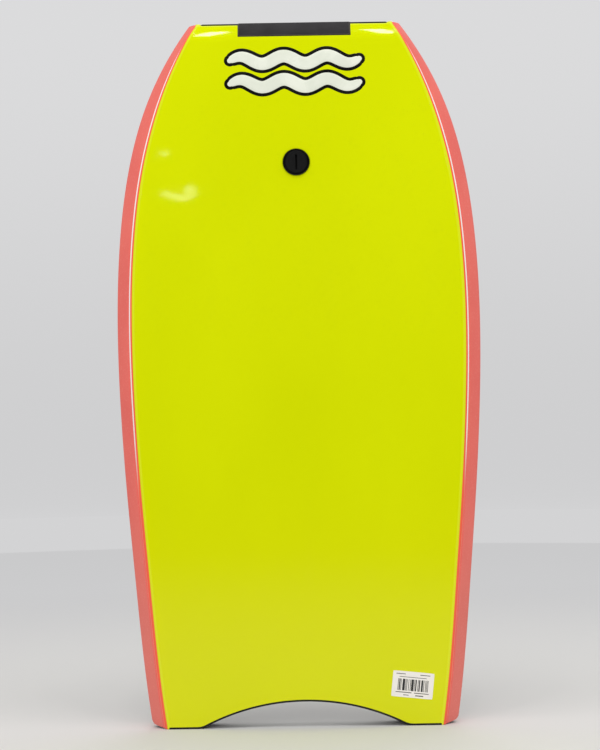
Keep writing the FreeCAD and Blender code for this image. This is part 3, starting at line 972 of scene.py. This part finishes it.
def softenedPlate(outline, inward, thick, soften):
    # a flat plate with its long edges rounded off
    shape = bmesh.new()
    face = shape.faces.new([shape.verts.new(p) for p in outline])
    extruded = bmesh.ops.extrude_face_region(shape, geom=[face])
    moved = [v for v in extruded["geom"] if isinstance(v, bmesh.types.BMVert)]
    bmesh.ops.translate(shape, verts=moved, vec=inward * thick)
    bmesh.ops.recalc_face_normals(shape, faces=shape.faces)
    bmesh.ops.bevel(shape, geom=shape.edges[:], offset=soften, segments=3, profile=0.6,
                    affect="EDGES", clamp_overlap=True)
    points = [v.co.copy() for v in shape.verts]
    faces = [tuple(v.index for v in f.verts) for f in shape.faces]
    shape.free()
    return points, faces


def makeNoseSkin():
    outline = []
    tip = slickSheet["tips"][0]
    corners = [("slick", tip, 0), ("slick", tip, 1), ("slick", 0, 1), ("slickInner", 0, 0),
               ("apexInner", 0, 0), ("deckInner", 0, 0), ("deck", 0, 0)]
    for name, less, deeper in corners:
        half, depth = lines[name](board["length"])
        for step in range(4):
            half, depth = lines[name](noseEnd(depth))
        depth += board["slick"] * deeper
        outline.append(Vector((half - less, depth, noseEnd(depth))))
    outline += [Vector((-p.x, p.y, p.z)) for p in reversed(outline)]
    points, faces = softenedPlate(outline, -noseOut, board["noseSkin"], 0.0005)
    addPiece("nose_skin_plate", points, faces, finishes["skin"], ["nose_skin"], sharp=45)


makeTailSkin()
makeNoseSkin()
print("end skins made")


# the bare badge over the nose edge

badge = {
    "width": 0.172,
    "front": 0.022,
    "back": 0.014,
    "thick": 0.0008,
    "gap": 0.00003,     # between the strip and what it is glued to
    "rim": 0.35,        # share of the thickness that is left at its edges
    "columns": 60,
}


def badgePath():
    # the strip's underside over the nose edge, as (point, way out), evenly spaced
    base = []
    low = board["length"] - badge["front"]
    for k in range(17):
        z = low + badge["front"] * k / 16
        slope = (slickDepth(z + 1e-4) - slickDepth(z - 1e-4)) / 2e-4
        base.append((Vector((0, slickDepth(z), z)), Vector((0, -1, slope)).normalized()))
    first = base[-1][1]
    for k in range(1, 6):
        base.append((noseCorner.copy(), first.lerp(noseOut, k / 6).normalized()))
    for k in range(9):
        base.append((noseCorner + noseBack * badge["back"] * k / 8, noseOut.copy()))
    return base


def makeBadge():
    path = badgePath()
    half, count, thick = badge["width"] / 2, badge["columns"], badge["thick"]
    lengths = [0.0]
    for (before, o1), (after, o2) in zip(path, path[1:]):
        lengths.append(lengths[-1] + ((after + o2 * thick) - (before + o1 * thick)).length)
    total = lengths[-1]
    across = [-half + 2 * half * k / count for k in range(count + 1)]
    rings, edge = [], []
    for (point, out), length in zip(path, lengths):
        ends = min(length, total - length)
        inner = 1.0 if ends > 1e-6 else badge["rim"]
        shares = [badge["rim"]] + [inner] * (count - 1) + [badge["rim"]]
        ring = [Vector((x, 0, 0)) + point + out * thick * share for x, share in zip(across, shares)]
        ring += [Vector((x, 0, 0)) + point + out * badge["gap"] for x in reversed(across)]
        edge += [min(half - abs(x), ends) for x in across + across[::-1]]
        rings.append(ring)
    points, faces = joinRings(rings)
    addPiece("nose_badge_strip", points, faces, finishes["badge"], ["nose_badge"],
             {"edge": edge}, sharp=60)


makeBadge()
print("badge made")


# the sticker near the tail

label = {
    "width": 0.062,
    "height": 0.039,
    "thick": 0.00032,
    "gap": 0.00004,
    "corner": 0.00036,  # how far each corner is pulled in
    "tilt": math.radians(6.2),
    "bars": (0.0085, 0.0540, 0.0100, 0.0275),   # left, right, low and high of the bars
    "unit": 0.00092,
    "rules": [(0.005, 0.019, 0.0344, 0.0354), (0.041, 0.056, 0.0344, 0.0354),
              (0.010, 0.051, 0.0301, 0.0309), (0.006, 0.030, 0.0068, 0.0079),
              (0.034, 0.056, 0.0068, 0.0079), (0.018, 0.026, 0.0030, 0.0040),
              (0.036, 0.048, 0.0028, 0.0042)],
}


def makeLabel():
    low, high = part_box("barcode_label")
    middle = (low + high) / 2
    face = high.y - label["thick"]
    turn = Matrix.Rotation(label["tilt"], 3, "Y")
    inked = []
    x, step = label["bars"][0], 0
    while x < label["bars"][1]:
        wide = label["unit"] * (1 + (step * 7 + step // 3) % 3 % 2 + 2 * (step % 5 == 3))
        inked.append((x, min(x + wide, label["bars"][1]), label["bars"][2], label["bars"][3]))
        x += wide + label["unit"] * (0.85 + (step % 4 == 2) + (step % 7 == 5))
        step += 1
    inked += label["rules"]
    width, height = label["width"], label["height"]
    across = sorted({round(v, 6) for a, b, c, d in inked for v in (a, b)} | {0.0, width})
    up = sorted({round(v, 6) for a, b, c, d in inked for v in (c, d)} | {0.0, height})
    points, faces, marks = [], [], []

    def place(u, v, y):
        return middle + turn @ Vector((u - width / 2, y - middle.y, v - height / 2))

    for v in up:
        for u in across:
            pull = label["corner"] if u in (0.0, width) and v in (0.0, height) else 0.0
            points.append(place(u + (pull if u == 0 else -pull), v + (pull if v == 0 else -pull), face))
    size = len(across)
    for r in range(len(up) - 1):
        for c in range(size - 1):
            k = r * size + c
            faces.append((k, k + 1, k + size + 1, k + size))
            u, v = (across[c] + across[c + 1]) / 2, (up[r] + up[r + 1]) / 2
            marks.append(any(a < u < b and lo < v < hi for a, b, lo, hi in inked))
    rim = gridRim(size, len(up))
    start = len(points)
    for k in rim:
        points.append(points[k] + Vector((0, label["thick"] - label["gap"], 0)))
    for k in range(len(rim)):
        after = (k + 1) % len(rim)
        faces.append((rim[k], rim[after], start + after, start + k))
    faces.append(tuple(range(start, start + len(rim))))
    piece = addPiece("price_label", points, faces, [finishes["paper"], finishes["ink"]],
                     ["barcode_label"])
    for face, inkedFace in zip(piece.data.polygons, marks):
        face.material_index = int(inkedFace)


makeLabel()
print("label made")


# two plain wave bands on the slick

decal = {
    "height": 0.990,
    "apart": 0.0180,    # from the middle of the two bands to each
    "width": 0.216,
    "thick": 0.0195,
    "rise": 0.0058,
    "waves": 3.0,
    "endShare": 0.42,   # how thick a band's ends are
    "outline": 0.0050,
    "film": 0.00012,
    "under": 0.00003,   # how high the outline and the band on it lie
    "over": 0.00016,
}


def bandPoint(u, v, grow):
    # a place on a band: u runs along it, past both ends by their round caps, and v across it
    thick = decal["thick"] / 2
    half = decal["width"] / 2 - thick
    inside = min(max(u, -1), 1)
    past = abs(u) - abs(inside)
    angle = math.pi * decal["waves"] * (inside + 1)
    slope = decal["rise"] * math.cos(angle) * math.pi * decal["waves"] / half
    normal = Vector((-slope, 1)).normalized()
    taper = decal["endShare"] + (1 - decal["endShare"]) * math.sqrt(max(0, 1 - abs(inside) ** 3.2))
    reach = (thick * taper + grow) * v * math.sqrt(max(0, 1 - past ** 2))
    cap = math.copysign(past * (thick * decal["endShare"] + grow), u)
    place = Vector((half * inside, decal["rise"] * math.sin(angle)))
    return place + normal * reach + Vector((normal.y, -normal.x)) * cap


def makeBand(name, up, grow, lift, finish):
    film, steps = decal["film"], 150
    caps = (0.3, 0.6, 0.85, 0.98)
    spans = [-1 - k for k in reversed(caps)] + [-1 + 2 * k / steps for k in range(steps + 1)]
    spans += [1 + k for k in caps]
    shares = [-1, -0.98, -0.5, 0, 0.5, 0.98, 1]
    path = [(v, 0.2 * film if abs(v) == 1 else film) for v in shares]
    path += [(v, 0.0) for v in reversed(shares)]
    rings = []
    for u in spans:
        ring = []
        for v, raised in path:
            p = bandPoint(u, v, grow)
            z = decal["height"] + up + p.y
            ring.append(Vector((p.x, slickDepth(z) - lift - raised, z)))
        rings.append(ring)
    points, faces = joinRings(rings)
    addPiece(name, points, faces, finish, sharp=60)


for number, up in ((1, decal["apart"]), (2, -decal["apart"])):
    makeBand(f"wave_outline_{number}", up, decal["outline"], decal["under"], finishes["decalEdge"])
    makeBand(f"wave_{number}", up, 0.0, decal["over"], finishes["decal"])
print("wave decal made")


# the solids that stay, as (finish, how wide its edges are rounded)

kept = {
    "core": ("core", 0),
    "core_mesh": ("net", 0),
    "stringer_tube": ("stringer", 0),
    "stringer_tail_plug": ("cap", 0.00040),
    "stringer_nose_cap": ("cap", 0.00040),
    "leash_plug_screw": ("head", 0.00025),
    "leash_plug_cup": ("plug", 0.00030),
    "leash_bar": ("bar", 0.00030),
    "leash_plug_slick_washer": ("washer", 0.00015),
    "leash_plug_deck_washer": ("washer", 0.00015),
}

for name, (finish, width) in kept.items():
    solid = nodes[name]
    if not solid.data.materials:
        solid.data.materials.append(finishes[finish])
    for k in range(len(solid.data.materials)):
        solid.data.materials[k] = finishes[finish]
    if not width:
        continue
    rounding = solid.modifiers.new("softened", "BEVEL")
    rounding.width = width
    rounding.segments = 2
    rounding.limit_method = "ANGLE"
    rounding.angle_limit = math.radians(35)
    rounding.harden_normals = True
print("solids finished:", len(kept))


# floor, walls and lights

studio = {
    "radius": 6.5,
    "bend": 1.5,        # radius of the round between floor and walls
    "mat": 3.4,         # reach of the floor that only shows in the slick
    "matLift": 0.001,
    "floor": colour(216, 215, 212),
    "mirrored": colour(204, 200, 196),
    "low": colour(202, 202, 203),
    "wall": colour(216, 216, 217),
}


def floorFinish(name, tone, glow, near, far):
    # a paper floor that fades from its tone near the board to a glow further back
    finish = Finish(name)
    grain = finish.noise(300.0, 2.0)
    reach = finish.node("ShaderNodeVectorMath", {"operation": "LENGTH"}, {0: finish.place}, "Value")
    fade = finish.between(reach, near, far)
    return finish.surface({
        "Base Color": finish.mix(fade, tone, colour(0, 0, 0)),
        "Emission Color": finish.mix(fade, colour(0, 0, 0), glow),
        "Emission Strength": 1.0,
        "Roughness": 0.55 + 0.06 * grain,
        "Specular IOR Level": 0.12,
    })


def wallFinish():
    # the walls glow instead of being lit: painted light, darker towards the floor
    finish = Finish("studioWall")
    height = finish.along("Z")
    tone = finish.mix(finish.between(height, 0.0, 2.2), studio["low"], studio["wall"])
    return finish.surface({
        "Base Color": (0.02, 0.02, 0.02, 1),
        "Roughness": 0.9,
        "Emission Color": tone,
        "Emission Strength": 1.0,
    })


def makeStage():
    radius, bend = studio["radius"], studio["bend"]
    flat = radius - bend
    mat = [(reach, studio["matLift"]) for reach in (0.05, 0.5, 1.5, studio["mat"])]
    floor = [(reach, 0.0) for reach in (0.05, 0.5, 1.5, 3.0, flat)]
    wall = [(flat + bend * math.sin(a), bend * (1 - math.cos(a)))
            for a in [math.radians(k) for k in range(0, 91, 6)]]
    wall += [(radius * math.cos(a), bend + flat * math.sin(a))
             for a in [math.radians(k) for k in range(6, 88, 6)]]
    floorLook = floorFinish("studioFloor", studio["floor"], studio["low"], 0.3, 2.2)
    matLook = floorFinish("studioMat", studio["mirrored"], colour(0, 0, 0), 0.2, studio["mat"])
    wallLook = wallFinish()
    stages = (
        ("studio_mat", mat, matLook, (0, 360), {"glossy"}),
        ("studio_floor", floor, floorLook, (0, 360), {"camera", "diffuse", "shadow"}),
        ("studio_wall_behind", wall, wallLook, (0, 180), {"camera", "diffuse", "glossy", "shadow"}),
        ("studio_wall_before", wall, wallLook, (180, 360), {"camera", "diffuse", "shadow"}),
    )
    for name, line, finish, arc, seen in stages:
        rings = [[Vector((r * math.cos(math.radians(a)), r * math.sin(math.radians(a)), z))
                  for a in range(arc[0], arc[1] + 1, 3)] for r, z in line]
        points, faces = joinRings(rings, False, line[0][0] < 0.1, False)
        mesh = bpy.data.meshes.new(name)
        mesh.from_pydata([tuple(p) for p in points], [], faces)
        mesh.shade_smooth()
        mesh.materials.append(finish)
        stage = bpy.data.objects.new(name, mesh)
        scene.collection.objects.link(stage)
        for rays in ("camera", "diffuse", "glossy", "shadow"):
            setattr(stage, f"visible_{rays}", rays in seen)
        finish.cycles.emission_sampling = "NONE"


# a lamp that shines is also seen in reflections
lamps = {
    "overLeft": {"at": (-1.3, -1.3, 3.9), "to": (-0.1, -0.1, 0.2), "size": (2.0, 1.6), "power": 23},
    "overRight": {"at": (1.3, -1.3, 3.9), "to": (0.1, -0.1, 0.2), "size": (2.0, 1.6), "power": 23},
    "front": {"at": (-0.2, -4.2, 1.7), "to": (0, 0, 0.45), "size": (2.4, 1.6), "power": 44.5},
    "back": {"at": (0.6, 2.6, 2.4), "to": (0, 0, 0.3), "size": (2.4, 1.6), "power": 20, "shines": True},
    "stripLeft": {"at": (-0.205, -0.92, 2.8), "to": (-0.13, 0, 1.06), "size": (0.050, 0.62), "power": 1.7,
                  "shines": True},
    "stripRight": {"at": (0.215, -0.92, 2.8), "to": (0.13, 0, 1.06), "size": (0.050, 0.62), "power": 1.7,
                   "shines": True},
    "glint": {"at": (-0.36, -3.05, 1.58), "to": (-0.2, 0, 0.8), "size": (0.085, 0.022), "turn": -26,
              "power": 0.034, "shines": True},
    "glintHigh": {"at": (-0.395, -3.05, 1.82), "to": (-0.2, 0, 0.86), "size": (0.026, 0.010), "turn": 30,
                  "power": 0.008, "shines": True},
    "glintSide": {"at": (-0.318, -3.05, 1.60), "to": (-0.2, 0, 0.8), "size": (0.020, 0.060), "turn": 12,
                  "power": 0.024, "shines": True},
}


def makeLamps():
    for name, lamp in lamps.items():
        light = bpy.data.lights.new(name, "AREA")
        light.shape = "RECTANGLE"
        light.size, light.size_y = lamp["size"]
        light.energy = lamp["power"]
        carrier = bpy.data.objects.new(name, light)
        carrier.location = lamp["at"]
        aim = Vector(lamp["to"]) - Vector(lamp["at"])
        turn = Matrix.Rotation(math.radians(lamp.get("turn", 0)), 3, "Z")
        carrier.rotation_euler = (aim.to_track_quat("-Z", "Y").to_matrix() @ turn).to_euler()
        carrier.visible_glossy = lamp.get("shines", False)
        scene.collection.objects.link(carrier)


def makeWorld():
    world = bpy.data.worlds.new("studioAir")
    world.use_nodes = True
    world.node_tree.nodes["Background"].inputs["Color"].default_value = (0.012, 0.012, 0.012, 1)
    world.node_tree.nodes["Background"].inputs["Strength"].default_value = 1.0
    scene.world = world


camera = {
    "aside": 0.0004,
    "distance": 3.2,
    "height": 0.529,
    "roll": math.radians(0.96),
    "lens": 102.3,
}


def makeCamera():
    data = bpy.data.cameras.new("camera")
    data.lens = camera["lens"]
    data.sensor_width = 36
    data.clip_end = 60
    carrier = bpy.data.objects.new("camera", data)
    carrier.location = (camera["aside"], board["slickPlane"] - camera["distance"], camera["height"])
    carrier.rotation_euler = (math.pi / 2, camera["roll"], 0)
    scene.collection.objects.link(carrier)
    scene.camera = carrier


makeStage()
makeLamps()
makeWorld()
makeCamera()
scene.view_settings.view_transform = "Standard"
print("stage, lights and camera made")
